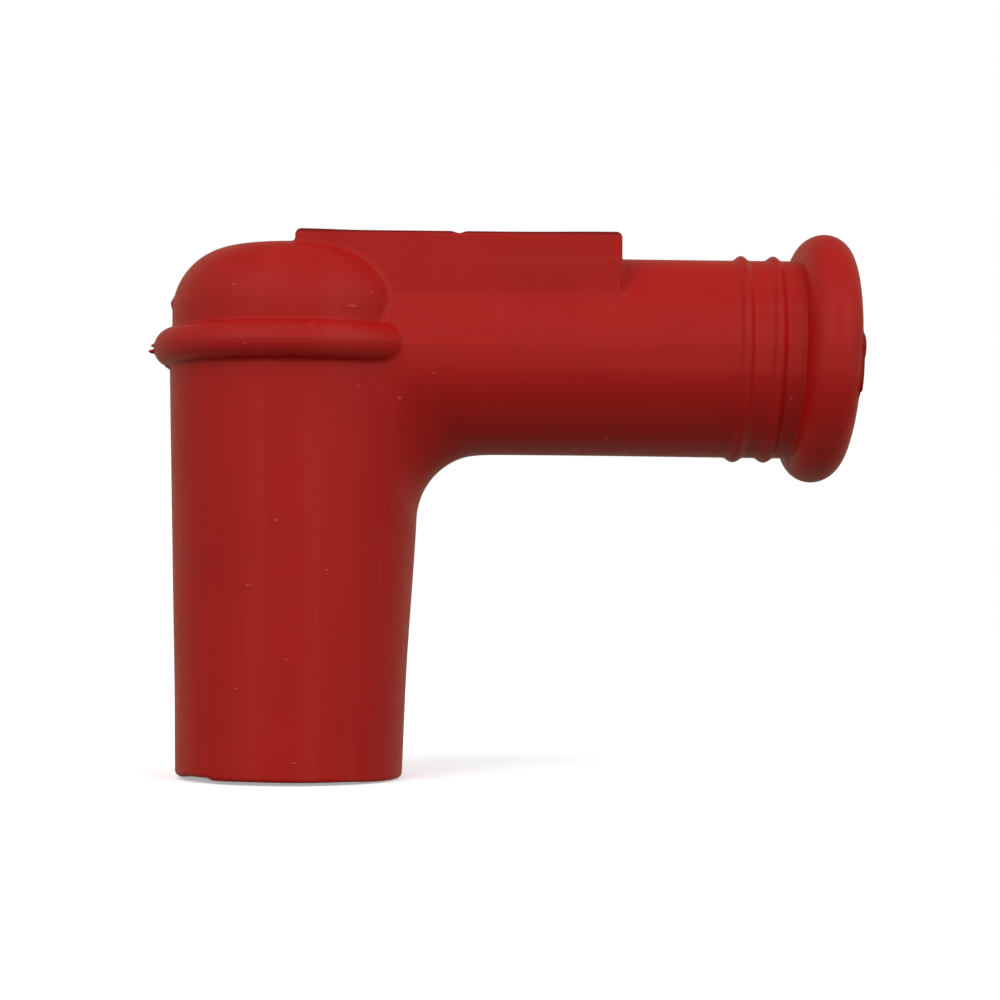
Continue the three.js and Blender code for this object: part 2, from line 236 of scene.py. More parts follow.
def ridge(off, width, sharpness):
    """Height of a rounded ridge: 1 in its middle, 0 from half its width on."""
    share = np.clip(np.abs(off) / width, 0, 0.5)
    return np.cos(math.pi * share) ** sharpness


def bore(across, radius, along, start, end):
    """A round hole from start to end. across is measured from its axis."""
    return np.maximum(across - radius, np.maximum(along - end, start - along))


def with_lumps(body, x, y, z, lumps):
    """The body with small rounded lumps on it."""
    for middle, radii in lumps:
        axes = zip((x, y, z), middle, radii)
        reach = np.sqrt(sum(((place - centre) / radius) ** 2 for place, centre, radius in axes))
        body = np.minimum(body, (reach - 1) * min(radii))
    return body


# Distances of the boot's forms


def mouth_edge(x, y):
    """Height of the slightly wavy and torn lower edge round the mouth."""
    angle = np.arctan2(y, x)
    wave = sum(size * np.sin(turns * angle + start) for size, turns, start in MOUTH_WAVES)
    torn = smooth_step(*TEAR_INNER_X, x) * smooth_step(*TEAR_OUTER_X, x) * smooth_step(*TEAR_Y, y)
    return wave + TEAR_DEPTH * torn - MOUTH_DROP * smooth_step(*MOUTH_DROP_X, x)


def barrel(x, y, z):
    """Distances to the barrel's side alone and to the barrel with its mouth."""
    lean = BARREL_LEAN * np.clip(PARTING_HEIGHT - z, 0, None)
    across = np.hypot(x + lean, y)
    radius = MOUTH_RADIUS + BARREL_SLOPE * z + MOUTH_FLARE * smooth_step(*MOUTH_FLARE_Z, z)
    swell = BARREL_SWELL * smooth_step(*BARREL_SWELL_Z, z) * smooth_step(*BARREL_SWELL_X, x)
    side = (across - radius) * BARREL_COSINE - swell
    mouth_round = MOUTH_ROUND - MOUTH_ROUND_LOSS * smooth_step(*MOUTH_ROUND_X, x)
    return side, rounded_both(side, mouth_edge(x, y) - z, mouth_round)


def dome(x, y, z):
    cap = rounded_both(np.hypot(x, y) - DOME_RADIUS, z - DOME_TOP, DOME_EDGE_ROUND)
    return np.maximum(cap, PARTING_HEIGHT - DOME_OVERLAP - z)


def collar(x, y, z):
    """The ring. Its lower half is a little flatter than the upper one."""
    across = np.hypot(x, y) - (COLLAR_RADIUS - COLLAR_ROUND)
    high = (z - PARTING_HEIGHT) * np.where(z < PARTING_HEIGHT, COLLAR_FLATTENING, 1.0)
    return np.hypot(across, high) - COLLAR_ROUND


def seam_height(x):
    """Height of the parting line, which sags a little where the outlet starts."""
    return PARTING_HEIGHT - SEAM_SAG * smooth_step(*SEAM_SAG_X, x) * (1 - smooth_step(*SEAM_RISE_X, x))


def oval(y, high):
    """Distance to the outlet's oval. high is measured from its axis."""
    reach = np.hypot(y / OUTLET_HALF_WIDTH, high / OUTLET_HALF_HEIGHT)
    slope = np.hypot(y / OUTLET_HALF_WIDTH**2, high / OUTLET_HALF_HEIGHT**2)
    return reach * (reach - 1) / np.maximum(slope, 1e-6)


def ribs(x, y, high):
    """How far the two grip ribs stand out of the tube, a little more on its top."""
    rib_x = x - high * math.sin(RIB_LEAN) + y * math.sin(RIB_YAW)
    form = 0
    for place, turn in RIB_PLACES:
        off = rib_x - place - turn * (RIB_TURN_TOP - high)
        form = form + ridge(off, RIB_WIDTH, RIB_SHARPNESS)
    return form * (RIB_HEIGHT + RIB_HEIGHT_GAIN * high)


def outlet(x, y, z):
    """Distances to the plain tube and to the tube with its ribs and end bead."""
    high = z - (PARTING_HEIGHT - OUTLET_DROP - OUTLET_SAG * smooth_step(*OUTLET_SAG_X, x))
    tube = oval(y, high)
    bead_high = z - (PARTING_HEIGHT - END_BEAD_DROP)
    bead_x = x - END_BEAD_OUT - bead_high * math.sin(END_BEAD_LEAN) + y * math.sin(END_BEAD_YAW)
    past_middle = bead_x - (OUTLET_LENGTH - END_BEAD_ROUND)
    ribbed = np.maximum(np.maximum(tube - ribs(x, y, high), past_middle), -x)
    spread = oval(y, bead_high) + OUTLET_HALF_HEIGHT - END_BEAD_CENTRE
    bead = np.hypot(past_middle, spread) - END_BEAD_ROUND
    core = np.maximum(np.maximum(spread, bead_x - OUTLET_LENGTH), END_BEAD_CORE_X - x)
    body = soft_union(ribbed, np.minimum(bead, core), END_BEAD_CREASE)
    return tube, with_lumps(body, bead_x, y, bead_high, END_FLASH)


def pad(x, y, z):
    """The flat-sided pad. Its top rises at both ends and has a small notch across."""
    rise = PAD_FAR_RISE * smooth_step(*PAD_FAR_RISE_X, x)
    rise = rise + PAD_NEAR_RISE * smooth_step(*PAD_NEAR_RISE_X, x)
    notch = np.clip((NOTCH_HALF_WIDTH - np.abs(x - NOTCH_X)) / NOTCH_SIDE, 0, 1)
    top = PAD_TOP + rise - NOTCH_DEPTH * notch
    middle = (PAD_START_X + PAD_END_X) / 2
    half = (PAD_END_X - PAD_START_X) / 2
    side = rounded_both(np.abs(x - middle) - half, z - top, PAD_CORNER)
    body = rounded_both(side, np.abs(y) - PAD_HALF_WIDTH, PAD_EDGE)
    return np.maximum(body, PARTING_HEIGHT - z)


def elbow(x, y, z, side, tube):
    """The rolled inner corner between barrel and outlet, below the collar."""
    across = np.maximum(np.hypot(x, y), 1e-6)
    barrel_y = y / across * BARREL_COSINE
    barrel_z = -BARREL_SLOPE * BARREL_COSINE
    high = z - (PARTING_HEIGHT - OUTLET_DROP)
    tube_y, tube_z = y / OUTLET_HALF_WIDTH**2, high / OUTLET_HALF_HEIGHT**2
    size = np.maximum(np.hypot(tube_y, tube_z), 1e-9)
    cosine = (barrel_y * tube_y + barrel_z * tube_z) / size
    square = np.maximum(1 - cosine**2, 1e-4)
    # away is the distance to the path of a ball's middle that touches both sides
    a, b = side - ELBOW_ROUND, tube - ELBOW_ROUND
    away = np.sqrt(np.maximum(a * a + b * b - 2 * a * b * cosine, 0) / square)
    inside = (a - b * cosine < 0) & (b - a * cosine < 0)
    inside &= (x > ELBOW_START_X) & (cosine < ELBOW_COSINE)
    filled = np.where(inside, ELBOW_ROUND - away, np.minimum(side, tube))
    # the corner sinks into the tube before it ends
    filled = filled + ELBOW_FADE * smooth_step(*ELBOW_FADE_X, x)
    ends = np.maximum(ELBOW_START_X - x, x - ELBOW_END_X)
    return np.maximum(filled, np.maximum(ends, np.maximum(z - PARTING_HEIGHT, ELBOW_BOTTOM - z)))


def lip(radius, along, place):
    """Radius of a bore with a soft sealing lip."""
    return radius - LIP_HEIGHT * ridge(along - place, LIP_WIDTH, LIP_SHARPNESS)


def cavities(x, y, z):
    """The plug's well, the seats of the inner pieces above it and the lead's bore."""
    across = np.hypot(x, y)
    funnel = WELL_FUNNEL_OUT * np.clip((WELL_FUNNEL_HEIGHT - z) / WELL_FUNNEL_HEIGHT, 0, 1)
    radius = np.minimum(*(lip(WELL_RADIUS, z, place) for place in WELL_LIP_PLACES)) + funnel
    well = np.maximum(across - radius, z - WELL_TOP)
    passage = bore(across, PASSAGE_RADIUS, z, *PASSAGE_Z)
    chamber = bore(across, CHAMBER_RADIUS, z, *CHAMBER_Z)
    contact = bore(across, CONTACT_RADIUS, z, *CONTACT_Z)
    upright = np.minimum(np.minimum(well, passage), np.minimum(chamber, contact))
    across = np.hypot(y, z - PARTING_HEIGHT)
    flare = LEAD_FLARE * np.clip(x - LEAD_FLARE_X, 0, None) ** 2
    lead = np.maximum(across - (lip(LEAD_RADIUS, x, LEAD_LIP_X) + flare), LEAD_START_X - x)
    return np.minimum(upright, np.minimum(lead, bore(across, ROD_RADIUS, x, *ROD_X)))


def boot(x, y, z):
    """The whole moulding with its creases, parting line, flash and bores."""
    side, shell = barrel(x, y, z)
    tube, ribbed = outlet(x, y, z)
    body = np.minimum(np.maximum(shell, z - PARTING_HEIGHT), elbow(x, y, z, side, tube))
    body = np.minimum(body, dome(x, y, z))
    body = soft_union(body, collar(x, y, z), COLLAR_CREASE)
    body = soft_union(body, soft_union(ribbed, pad(x, y, z), PAD_CREASE), OUTLET_CREASE)
    body = body - SEAM_RIDGE * np.exp(-(((z - seam_height(x)) / SEAM_WIDTH) ** 2))
    body = with_lumps(body, x, y, z, RING_FLASH)
    return soft_cut(body, cavities(x, y, z), BORE_EDGE)


# Mesh: a surface net on an uneven grid, pulled onto the zero of the distance


def ticks(stretches):
    """Grid lines from stretches of (start, end, step) that join end to end."""
    lines = []
    for start, end, step in stretches:
        count = max(1, round((end - start) / step))
        lines.append(np.linspace(start, end, count, endpoint=False))
    lines.append(np.array([stretches[-1][1]]))
    return np.concatenate(lines)


def grid_values(distance, xs, ys, zs):
    """The distance at every crossing of grid lines, worked out a few planes at a time."""
    values = np.empty((len(xs), len(ys), len(zs)))
    for i in range(0, len(xs), PLANES_AT_ONCE):
        planes = slice(i, i + PLANES_AT_ONCE)
        values[planes] = distance(*np.meshgrid(xs[planes], ys, zs, indexing="ij"))
    return values


def surface_cells(inside):
    """Index of each grid cell that has corners on both sides of the surface."""
    nx, ny, nz = (count - 1 for count in inside.shape)
    corners = sum(
        inside[a : nx + a, b : ny + b, c : nz + c].astype(np.int8)
        for a, b, c in itertools.product((0, 1), repeat=3)
    )
    return np.argwhere((corners > 0) & (corners < 8))


def cell_points(values, cells, lines):
    """One point in each cell: the mean of where its edges cross the surface."""
    total = np.zeros((len(cells), 3))
    hits = np.zeros(len(cells))
    for axis in range(3):
        others = [k for k in range(3) if k != axis]
        for shift in itertools.product((0, 1), repeat=2):
            first = cells.copy()
            first[:, others] += shift
            second = first.copy()
            second[:, axis] += 1
            start, end = values[tuple(first.T)], values[tuple(second.T)]
            cross = (start < 0) != (end < 0)
            share = np.where(cross, start / np.where(cross, start - end, 1), 0)
            for k in range(3):
                at = lines[k][first[:, k]] * (1 - share) + lines[k][second[:, k]] * share
                total[:, k] += np.where(cross, at, 0)
            hits += cross
    return total / hits[:, None]


def cell_quads(inside, cells):
    """A quad round each grid edge that crosses the surface, facing outwards."""
    number = -np.ones([count - 1 for count in inside.shape], np.int64)
    number[tuple(cells.T)] = np.arange(len(cells))
    quads = []
    for axis in range(3):
        u, v = (axis + 1) % 3, (axis + 2) % 3
        low = [slice(None)] * 3
        high = [slice(None)] * 3
        low[axis], high[axis] = slice(None, -1), slice(1, None)
        edges = np.argwhere(inside[tuple(low)] != inside[tuple(high)])
        corners = []
        for du, dv in ((-1, -1), (0, -1), (0, 0), (-1, 0)):
            cell = edges.copy()
            cell[:, u] += du
            cell[:, v] += dv
            corners.append(number[tuple(cell.T)])
        quad = np.stack(corners, 1)
        inward = ~inside[tuple(edges.T)]
        quad[inward] = quad[inward][:, ::-1]
        quads.append(quad)
    return np.concatenate(quads)


def slope_of(distance, points):
    """Gradient of the distance at each point."""
    slope = np.empty_like(points)
    for k in range(3):
        shift = np.zeros(3)
        shift[k] = SLOPE_STEP
        change = distance(*(points + shift).T) - distance(*(points - shift).T)
        slope[:, k] = change / (2 * SLOPE_STEP)
    return slope


def settled(distance, points):
    """The points, pulled along the slope onto the zero of the distance."""
    for _ in range(SETTLING_ROUNDS):
        slope = slope_of(distance, points)
        square = np.maximum((slope**2).sum(1), LEAST_SLOPE_SQUARED)
        move = (distance(*points.T) / square)[:, None] * slope
        points = points - np.clip(move, -LONGEST_MOVE, LONGEST_MOVE)
    return points


def make_boot():
    xs = ticks(GRID_X)
    half = ticks(GRID_HALF_Y)
    ys = np.concatenate([-half[:0:-1], half])
    zs = ticks(GRID_Z)
    values = grid_values(boot, xs, ys, zs)
    inside = values < 0
    cells = surface_cells(inside)
    points = settled(boot, cell_points(values, cells, (xs, ys, zs)))
    normals = slope_of(boot, points)
    normals /= np.maximum(np.linalg.norm(normals, axis=1), 1e-9)[:, None]
    mesh = bpy.data.meshes.new("boot_moulding")
    mesh.from_pydata((points * MM).tolist(), [], cell_quads(inside, cells).tolist())
    mesh.validate()
    mesh.update()
    mesh.polygons.foreach_set("use_smooth", [True] * len(mesh.polygons))
    mesh.normals_split_custom_set_from_vertices(normals.tolist())
    obj = bpy.data.objects.new("boot_moulding", mesh)
    bpy.context.scene.collection.objects.link(obj)
    return obj


# Node helpers. Each value may be a number, a colour or another node's socket.


def feed(tree, socket, value):
    if isinstance(value, bpy.types.NodeSocket):
        tree.links.new(value, socket)
    else:
        socket.default_value = value


def add(tree, kind, inputs=None, **settings):
    node = tree.nodes.new(kind)
    for key, value in settings.items():
        setattr(node, key, value)
    for key, value in (inputs or {}).items():
        feed(tree, node.inputs[key], value)
    return node


def maths(tree, operation, *values):
    return add(tree, "ShaderNodeMath", dict(enumerate(values)), operation=operation).outputs[0]


def product(tree, first, *others):
    for other in others:
        first = maths(tree, "MULTIPLY", first, other)
    return first


def away_from(tree, value, middle):
    return maths(tree, "ABSOLUTE", maths(tree, "SUBTRACT", value, middle))


def length_of(tree, across, up):
    """Length of a flat arrow."""
    arrow = add(tree, "ShaderNodeCombineXYZ", {"X": across, "Y": up}).outputs[0]
    return add(tree, "ShaderNodeVectorMath", {0: arrow}, operation="LENGTH").outputs["Value"]


def ramp(tree, value, low, high, start=0.0, end=1.0):
    """Start where the value is low and end where it is high, smooth between."""
    inputs = {"Value": value, "From Min": low, "From Max": high, "To Min": start, "To Max": end}
    return add(tree, "ShaderNodeMapRange", inputs, interpolation_type="SMOOTHSTEP").outputs["Result"]


def noise(tree, place, scale, detail):
    inputs = {"Vector": place, "Scale": scale, "Detail": detail, "Roughness": 0.55}
    return add(tree, "ShaderNodeTexNoise", inputs).outputs["Fac"]


def stretched(tree, place, scale):
    return add(tree, "ShaderNodeMapping", {"Vector": place, "Scale": scale}).outputs["Vector"]


def between(tree, share, a, b):
    """A number between two numbers."""
    return add(tree, "ShaderNodeMix", {"Factor": share, "A": a, "B": b}).outputs[0]


def mixed(tree, share, a, b):
    """A colour between two colours."""
    node = add(tree, "ShaderNodeMix", data_type="RGBA")
    for name, value in (("Factor", share), ("A", a), ("B", b)):
        socket = next(s for s in node.inputs if s.name == name and s.enabled)
        feed(tree, socket, value)
    return next(s for s in node.outputs if s.enabled)


def new_material(name):
    """A material, its node tree and the place on the object in metres."""
    mat = bpy.data.materials.new(name)
    mat.use_nodes = True
    tree = mat.node_tree
    return mat, tree, add(tree, "ShaderNodeTexCoord").outputs["Object"]


def connect(tree, colour, roughness, bump):
    """Link a material's colour, roughness and bump, and return its shader."""
    shader = tree.nodes["Principled BSDF"]
    tree.links.new(colour, shader.inputs["Base Color"])
    tree.links.new(roughness, shader.inputs["Roughness"])
    tree.links.new(bump.outputs[0], shader.inputs["Normal"])
    return shader


# Silicone. Marks on it have their places and sizes in millimetres.

SILICONE_RED = (0.43, 0.0080, 0.0052, 1)
SILICONE_DEEP = (0.36, 0.0058, 0.0036, 1)
SILICONE_PALE = (0.45, 0.020, 0.014, 1)
# Colour of the painted shade along the parting line's step
SEAM_SHADE_COLOUR = (0.13, 0.004, 0.003, 1)
SPECK_COLOUR = (0.62, 0.25, 0.2, 1)
GRIT_COLOUR = (0.62, 0.14, 0.11, 1)
# Colour of the dark line on the pad's upper edge and on the end bead's near rim
EDGE_LINE_COLOUR = (0.13, 0.0015, 0.001, 1)
DRAG_STRETCH = 0.03
DRAG_TURN_X = (12, 16)
# Painted reflection of the two soft boxes on the barrel: band middles along X, half widths, and where
# they end at the top
REFLECTION_BAND_PLACES = (-3.3, 2.1)
REFLECTION_BAND_HALF_WIDTHS = (0.3, 1.6)
REFLECTION_BAND_TOP_Z = (36, 39)
# Painted shade along the parting line: half widths, and where it starts, fades and comes back along X
SEAM_SHADE_HALF_WIDTHS = (0.04, 0.14)
SEAM_SHADE_START_X = (9, 11.5)
SEAM_SHADE_END_X = (20, 24)
SEAM_SHADE_AGAIN_X = (43, 46)
PAD_LINE_X = (34, 36)
PAD_LINE_Y = (7.2, 7.5)
PAD_LINE_Z = (52.85, 52.97)
RIM_LINE_X = (54.22, 54.42)
RIM_LINE_Y = (-7.5, -5.5)
RIM_LINE_RADII = (9.1, 9.5)
RIM_LINE_MIDDLE_Z = 41.7
GRIT_SIDE_Y = (-5, -3)
GRIT_FAR = 9.0

# Small raised specks in the near side: place along X and Z, half width and half height
GRIT = (
    (-5.6, 47.4, 0.26, 0.16),
    (5.8, 45.4, 0.55, 0.2),
    (-4.2, 41.5, 0.2, 0.15),
    (10.3, 36.8, 0.3, 0.2),
    (6.4, 37.8, 0.2, 0.16),
    (13.6, 39.2, 0.22, 0.14),
    (11.4, 27.6, 0.22, 0.14),
    (6.3, 29.3, 0.14, 0.12),
    (-1.3, 24.9, 0.24, 0.22),
    (3.6, 20.2, 0.24, 0.14),
    (-3.9, 18.7, 0.3, 0.15),
    (-0.2, 11.7, 0.2, 0.16),
    (-5.0, 8.9, 0.2, 0.16),
    (0.6, 1.9, 0.3, 0.12),
    (30.5, 33.3, 0.2, 0.16),
    (48.2, 37.1, 0.2, 0.14),
)


def millimetres(tree, place):
    scaled = add(tree, "ShaderNodeVectorMath", {0: place, "Scale": 1 / MM}, operation="SCALE")
    return add(tree, "ShaderNodeSeparateXYZ", {"Vector": scaled.outputs["Vector"]}).outputs


def painted_reflection_bands(tree, x, z, upright):
    """Painted reflection of the two soft boxes: two broad pale bands down the barrel."""
    band = 0.0
    for middle in REFLECTION_BAND_PLACES:
        one = ramp(tree, away_from(tree, x, middle), *REFLECTION_BAND_HALF_WIDTHS, start=0.4, end=0.0)
        band = maths(tree, "ADD", band, one)
    below = ramp(tree, z, *REFLECTION_BAND_TOP_Z, start=1.0, end=0.0)
    return product(tree, band, below, ramp(tree, upright, 0.25, 0.6, start=0.4))


def seam_painted_shade(tree, x, z, broad):
    """Painted shade: a thin dark line along the parting line's step. It is mostly gone from the middle
    of the outlet.
    """
    rise = ramp(tree, x, *SEAM_RISE_X, start=1.0, end=0.0)
    sag = product(tree, ramp(tree, x, *SEAM_SAG_X, end=SEAM_SAG), rise)
    away = away_from(tree, maths(tree, "ADD", z, sag), PARTING_HEIGHT)
    line = ramp(tree, away, *SEAM_SHADE_HALF_WIDTHS, start=1.0, end=0.0)
    patchy = ramp(tree, broad, 0.35, 0.6, start=0.15, end=0.5)
    first = ramp(tree, x, *SEAM_SHADE_END_X, start=1.0, end=0.16)
    again = ramp(tree, x, *SEAM_SHADE_AGAIN_X, end=0.3)
    faint = ramp(tree, x, *SEAM_SHADE_START_X, start=0.5)
    return product(tree, line, patchy, maths(tree, "MAXIMUM", first, again), faint)


def light_specks(tree, place):
    """Sparse light specks all over, one in a few of the cells of a pattern."""
    inputs = {"Vector": place, "Scale": 260.0, "Randomness": 1.0}
    cells = add(tree, "ShaderNodeTexVoronoi", inputs)
    chosen = add(tree, "ShaderNodeSeparateColor", {"Color": cells.outputs["Color"]}).outputs[0]
    spot = ramp(tree, cells.outputs["Distance"], 0.02, 0.05, start=1.0, end=0.0)
    return product(tree, spot, ramp(tree, chosen, 0.93, 0.95))


def grit_distance(tree, x, y, z):
    """Distance to the middle of the nearest raised speck, in shares of its size."""
    least = GRIT_FAR
    for middle_x, middle_z, half_width, half_height in GRIT:
        across = product(tree, maths(tree, "SUBTRACT", x, middle_x), 1 / half_width)
        up = product(tree, maths(tree, "SUBTRACT", z, middle_z), 1 / half_height)
        least = maths(tree, "MINIMUM", least, length_of(tree, across, up))
    return maths(tree, "MAXIMUM", least, ramp(tree, y, *GRIT_SIDE_Y, end=GRIT_FAR))


def dark_edge_lines(tree, x, y, z):
    """A dark line on the pad's upper edge and on the near rim of the end bead."""
    before_end = ramp(tree, x, *PAD_LINE_X, start=1.0, end=0.0)
    beside = ramp(tree, maths(tree, "ABSOLUTE", y), *PAD_LINE_Y)
    on_pad = product(tree, ramp(tree, z, *PAD_LINE_Z), before_end, beside)
    up = maths(tree, "SUBTRACT", z, RIM_LINE_MIDDLE_Z)
    lean = product(tree, up, -math.sin(END_BEAD_LEAN))
    yaw = product(tree, y, math.sin(END_BEAD_YAW))
    bead_x = maths(tree, "ADD", maths(tree, "ADD", x, lean), yaw)
    outside = ramp(tree, length_of(tree, y, up), *RIM_LINE_RADII)
    near = ramp(tree, y, *RIM_LINE_Y, start=0.85, end=0.0)
    on_rim = product(tree, ramp(tree, bead_x, *RIM_LINE_X), outside, near)
    return maths(tree, "MAXIMUM", on_pad, on_rim)


def silicone():
    mat, tree, place = new_material("red_silicone")
    x, y, z = millimetres(tree, place)
    broad = noise(tree, place, scale=90, detail=2.0)
    fine = noise(tree, place, scale=700, detail=3.0)
    grain = noise(tree, place, scale=2600, detail=2.0)
    upright = noise(tree, stretched(tree, place, (1, 1, DRAG_STRETCH)), scale=420, detail=2.0)
    along = noise(tree, stretched(tree, place, (DRAG_STRETCH, 1, 1)), scale=420, detail=2.0)
    drag = mixed(tree, ramp(tree, x, *DRAG_TURN_X), upright, along)
    speck = light_specks(tree, place)
    grit = grit_distance(tree, x, y, z)
    colour = SILICONE_RED
    for share, layer in (
        (ramp(tree, broad, 0.35, 0.75, end=0.45), SILICONE_DEEP),
        (ramp(tree, fine, 0.5, 0.8, end=0.22), SILICONE_PALE),
        (ramp(tree, drag, 0.5, 0.75, end=0.45), SILICONE_PALE),
        # painted reflection: pale bands where the two soft boxes shine on the barrel
        (painted_reflection_bands(tree, x, z, upright), SILICONE_PALE),
        # painted shade: thin dark line of the parting line's step
        (seam_painted_shade(tree, x, z, broad), SEAM_SHADE_COLOUR),
        (product(tree, speck, 0.5), SPECK_COLOUR),
        (ramp(tree, grit, 0.2, 1.0, start=0.42, end=0.0), GRIT_COLOUR),
        # dark line on the pad's upper edge and on the end bead's near rim
        (product(tree, dark_edge_lines(tree, x, y, z), 0.75), EDGE_LINE_COLOUR),
    ):
        colour = mixed(tree, share, colour, layer)
    height = maths(tree, "ADD", product(tree, grain, 0.25), product(tree, drag, 0.5))
    height = maths(tree, "ADD", height, product(tree, speck, 1.5))
    bump = add(tree, "ShaderNodeBump", {"Strength": 0.25, "Distance": 0.00006, "Height": height})
    raised = ramp(tree, grit, 0.1, 1.2, start=1.0, end=0.0)
    inputs = {"Strength": 0.6, "Distance": 0.0001, "Height": raised, "Normal": bump.outputs[0]}
    bump = add(tree, "ShaderNodeBump", inputs)
    shader = connect(tree, colour, ramp(tree, fine, 0.3, 0.7, start=0.38, end=0.46), bump)
    shader.inputs["IOR"].default_value = 1.41
    shader.inputs["Specular IOR Level"].default_value = 0.35
    return mat


def metal(name, light, dark, rough):
    mat, tree, place = new_material(name)
    stain = noise(tree, place, scale=260, detail=4.0)
    fine = noise(tree, place, scale=2400, detail=3.0)
    colour = mixed(tree, ramp(tree, stain, 0.35, 0.75), light, dark)
    roughness = ramp(tree, fine, 0.3, 0.7, start=rough - 0.06, end=rough + 0.1)
    bump = add(tree, "ShaderNodeBump", {"Strength": 0.2, "Distance": 0.00003, "Height": fine})
    shader = connect(tree, colour, roughness, bump)
    shader.inputs["Metallic"].default_value = 1.0
    return mat


def ceramic():
    mat, tree, place = new_material("resistor_ceramic")
    grain = noise(tree, place, scale=1800, detail=4.0)
    cloud = noise(tree, place, scale=200, detail=2.0)
    colour = mixed(tree, ramp(tree, cloud, 0.3, 0.7), (0.62, 0.56, 0.46, 1), (0.52, 0.46, 0.37, 1))
    bump = add(tree, "ShaderNodeBump", {"Strength": 0.3, "Distance": 0.00004, "Height": grain})
    connect(tree, colour, ramp(tree, grain, 0.3, 0.7, start=0.45, end=0.65), bump)
    return mat


# The boot
moulding = make_boot()
moulding.data.materials.append(silicone())
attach(moulding, "root")
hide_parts("boot")

# The inner pieces keep their CAD shape
brass = metal("turned_brass", (0.78, 0.56, 0.22, 1), (0.58, 0.38, 0.13, 1), 0.3)
screw_brass = metal("screw_brass", (0.74, 0.54, 0.24, 1), (0.5, 0.34, 0.14, 1), 0.34)
steel = metal("spring_steel", (0.55, 0.55, 0.56, 1), (0.36, 0.35, 0.34, 1), 0.28)
tin = metal("tinned_cup", (0.68, 0.68, 0.67, 1), (0.5, 0.49, 0.47, 1), 0.36)
for node, material in (
    ("plug_socket", brass),
    ("socket_clip", steel),
    ("contact_block", brass),
    ("contact_spring", steel),
    ("resistor_rod", ceramic()),
    ("resistor_cup_inner", tin),
    ("resistor_cup_outer", tin),
    ("lead_screw", screw_brass),
):
    obj = nodes[node]
    obj.data.materials.clear()
    obj.data.materials.append(material)


# Floor, world and lamps. Sizes are in metres. In the world, Z is the height of a direction
# between -1 and 1, and a turn is its angle from the front in radians.

FLOOR_HALF = 1.2
FLOOR_HEIGHT = -0.0003
FLOOR_FADE = (0.25, 0.9)
FLOOR_GLOW = 0.36
FLOOR_BOUNCE = (0.24, 0.24, 0.24, 1)
WHITE = (1.0, 1.0, 1.0, 1)
AMBIENT = (0.39, 0.53)
AMBIENT_Z = (-0.2, 0.5)
SHINE_TINT = (1.0, 1.0, 0.74, 1)
SHINE_MIDDLE = -0.02
SHINE_FRONT = 0.98
SHINE_BEHIND = 0.4
SHINE_BEHIND_TURNS = (0.6, 1.75)
SHINE_CEILING = 0.16
SHINE_CEILING_Z = (0.45, 0.75)
SHINE_GROUND = 0.31
SHINE_GROUND_Z = (-0.45, -0.15)
LAMP_TARGET = Vector((0.015, 0, 0.035))
LAMP_DISTANCE = 2.0
LAMP_SIZE = (1.3, 1.9)


def make_floor():
    """A pale floor. The camera sees it fade into the white ground around it."""
    corners = [(-1, -1), (1, -1), (1, 1), (-1, 1)]
    mesh = bpy.data.meshes.new("floor")
    mesh.from_pydata([(x * FLOOR_HALF, y * FLOOR_HALF, 0) for x, y in corners], [], [(0, 1, 2, 3)])
    obj = bpy.data.objects.new("floor", mesh)
    bpy.context.scene.collection.objects.link(obj)
    obj.location.z = FLOOR_HEIGHT
    mat, tree, place = new_material("pale_floor")
    tree.nodes.remove(tree.nodes["Principled BSDF"])
    rays = add(tree, "ShaderNodeLightPath").outputs
    seen = maths(tree, "MAXIMUM", rays["Is Camera Ray"], rays["Is Transmission Ray"])
    colour = mixed(tree, seen, FLOOR_BOUNCE, WHITE)
    matt = add(tree, "ShaderNodeBsdfDiffuse", {"Color": colour})
    glow = add(tree, "ShaderNodeEmission", {"Strength": product(tree, seen, FLOOR_GLOW)})
    lit = add(tree, "ShaderNodeAddShader", {0: matt.outputs[0], 1: glow.outputs[0]})
    clear = add(tree, "ShaderNodeBsdfTransparent")
    reach = add(tree, "ShaderNodeVectorMath", {0: place}, operation="LENGTH").outputs["Value"]
    share = product(tree, ramp(tree, reach, *FLOOR_FADE), seen)
    blend = add(tree, "ShaderNodeMixShader", {0: share, 1: lit.outputs[0], 2: clear.outputs[0]})
    tree.links.new(blend.outputs[0], tree.nodes["Material Output"].inputs["Surface"])
    mesh.materials.append(mat)
    obj.visible_glossy = False


def make_world():
    """White to the camera, a soft ambient light, and a room of its own for the shine."""
    world = bpy.data.worlds.new("studio")
    bpy.context.scene.world = world
    world.use_nodes = True
    tree = world.node_tree
    rays = add(tree, "ShaderNodeLightPath").outputs
    way = add(tree, "ShaderNodeTexCoord").outputs["Generated"]
    x, y, z = add(tree, "ShaderNodeSeparateXYZ", {"Vector": way}).outputs
    ambient = ramp(tree, z, *AMBIENT_Z, *AMBIENT)
    # the shine: a wide pale front, a dimmer room behind, ceiling and floor dim
    turn = maths(tree, "ARCTAN2", x, product(tree, y, -1.0))
    off_front = away_from(tree, turn, SHINE_MIDDLE)
    walls = ramp(tree, off_front, *SHINE_BEHIND_TURNS, SHINE_FRONT, SHINE_BEHIND)
    above = between(tree, ramp(tree, z, *SHINE_CEILING_Z), walls, SHINE_CEILING)
    shine = between(tree, ramp(tree, z, *SHINE_GROUND_Z), SHINE_GROUND, above)
    strength = between(tree, rays["Is Glossy Ray"], ambient, shine)
    seen = maths(tree, "MAXIMUM", rays["Is Camera Ray"], rays["Is Transmission Ray"])
    tint = mixed(tree, rays["Is Glossy Ray"], WHITE, SHINE_TINT)
    background = tree.nodes["Background"]
    tree.links.new(between(tree, seen, strength, 1.0), background.inputs["Strength"])
    tree.links.new(tint, background.inputs["Color"])


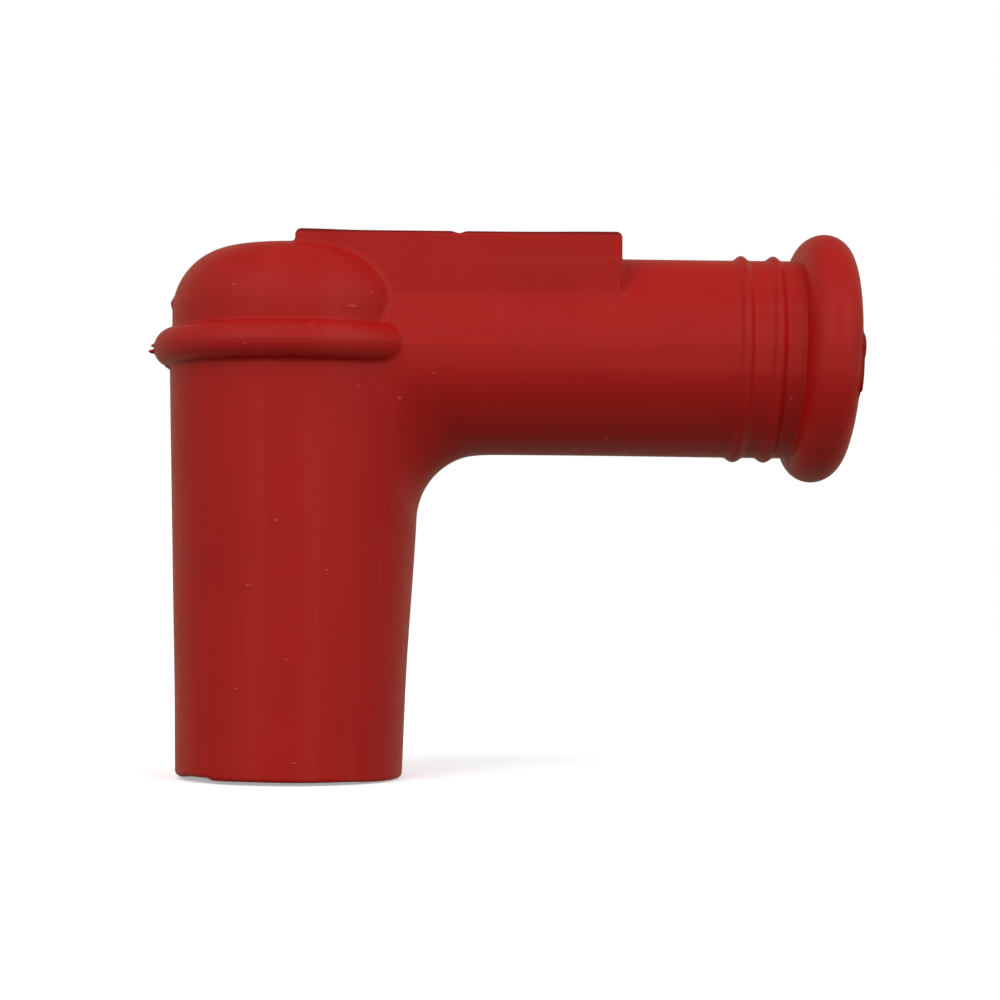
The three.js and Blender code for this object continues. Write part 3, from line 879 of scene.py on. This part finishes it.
def make_lamp(name, azimuth, elevation, power):
    """A soft box at azimuth and elevation in degrees. Azimuth 0 is the camera's side."""
    data = bpy.data.lights.new(name, "AREA")
    data.shape = "RECTANGLE"
    data.size, data.size_y = LAMP_SIZE
    data.energy = power
    obj = bpy.data.objects.new(name, data)
    bpy.context.scene.collection.objects.link(obj)
    turn, rise = math.radians(azimuth), math.radians(elevation)
    level = math.cos(rise)
    back = Vector((math.sin(turn) * level, -math.cos(turn) * level, math.sin(rise)))
    obj.location = LAMP_TARGET + back * LAMP_DISTANCE
    obj.rotation_euler = (-back).to_track_quat("-Z", "Y").to_euler()
    obj.visible_glossy = False


make_floor()
make_world()
make_lamp("box_left", azimuth=-36, elevation=37, power=17.8)
make_lamp("box_right", azimuth=50, elevation=30, power=14.7)


# Camera, fitted to the photograph's outline. Its place is in millimetres.

CAMERA_PLACE = (12.33, -260.05, 20.24)
CAMERA_YAW = math.radians(1.758)
CAMERA_PITCH = math.radians(1.56)
CAMERA_ROLL = math.radians(0.403)
FOCAL_PIXELS = 2616.8
PICTURE_PIXELS = 1000
SENSOR_WIDTH = 36.0


def make_camera():
    level = math.cos(CAMERA_PITCH)
    forward = Vector(
        (math.sin(CAMERA_YAW) * level, math.cos(CAMERA_YAW) * level, math.sin(CAMERA_PITCH))
    )
    right = forward.cross(Vector((0, 0, 1))).normalized()
    up = right.cross(forward)
    turned_right = right * math.cos(CAMERA_ROLL) + up * math.sin(CAMERA_ROLL)
    turned_up = up * math.cos(CAMERA_ROLL) - right * math.sin(CAMERA_ROLL)
    data = bpy.data.cameras.new("camera")
    data.sensor_width = SENSOR_WIDTH
    data.lens = SENSOR_WIDTH * FOCAL_PIXELS / PICTURE_PIXELS
    data.clip_start, data.clip_end = 0.01, 20
    obj = bpy.data.objects.new("camera", data)
    bpy.context.scene.collection.objects.link(obj)
    turn = Matrix((turned_right, turned_up, -forward)).transposed()
    obj.matrix_world = Matrix.Translation(Vector(CAMERA_PLACE) * MM) @ turn.to_4x4()
    bpy.context.scene.camera = obj


make_camera()
bpy.context.scene.view_settings.view_transform = "Standard"

bpy.context.view_layer.update()
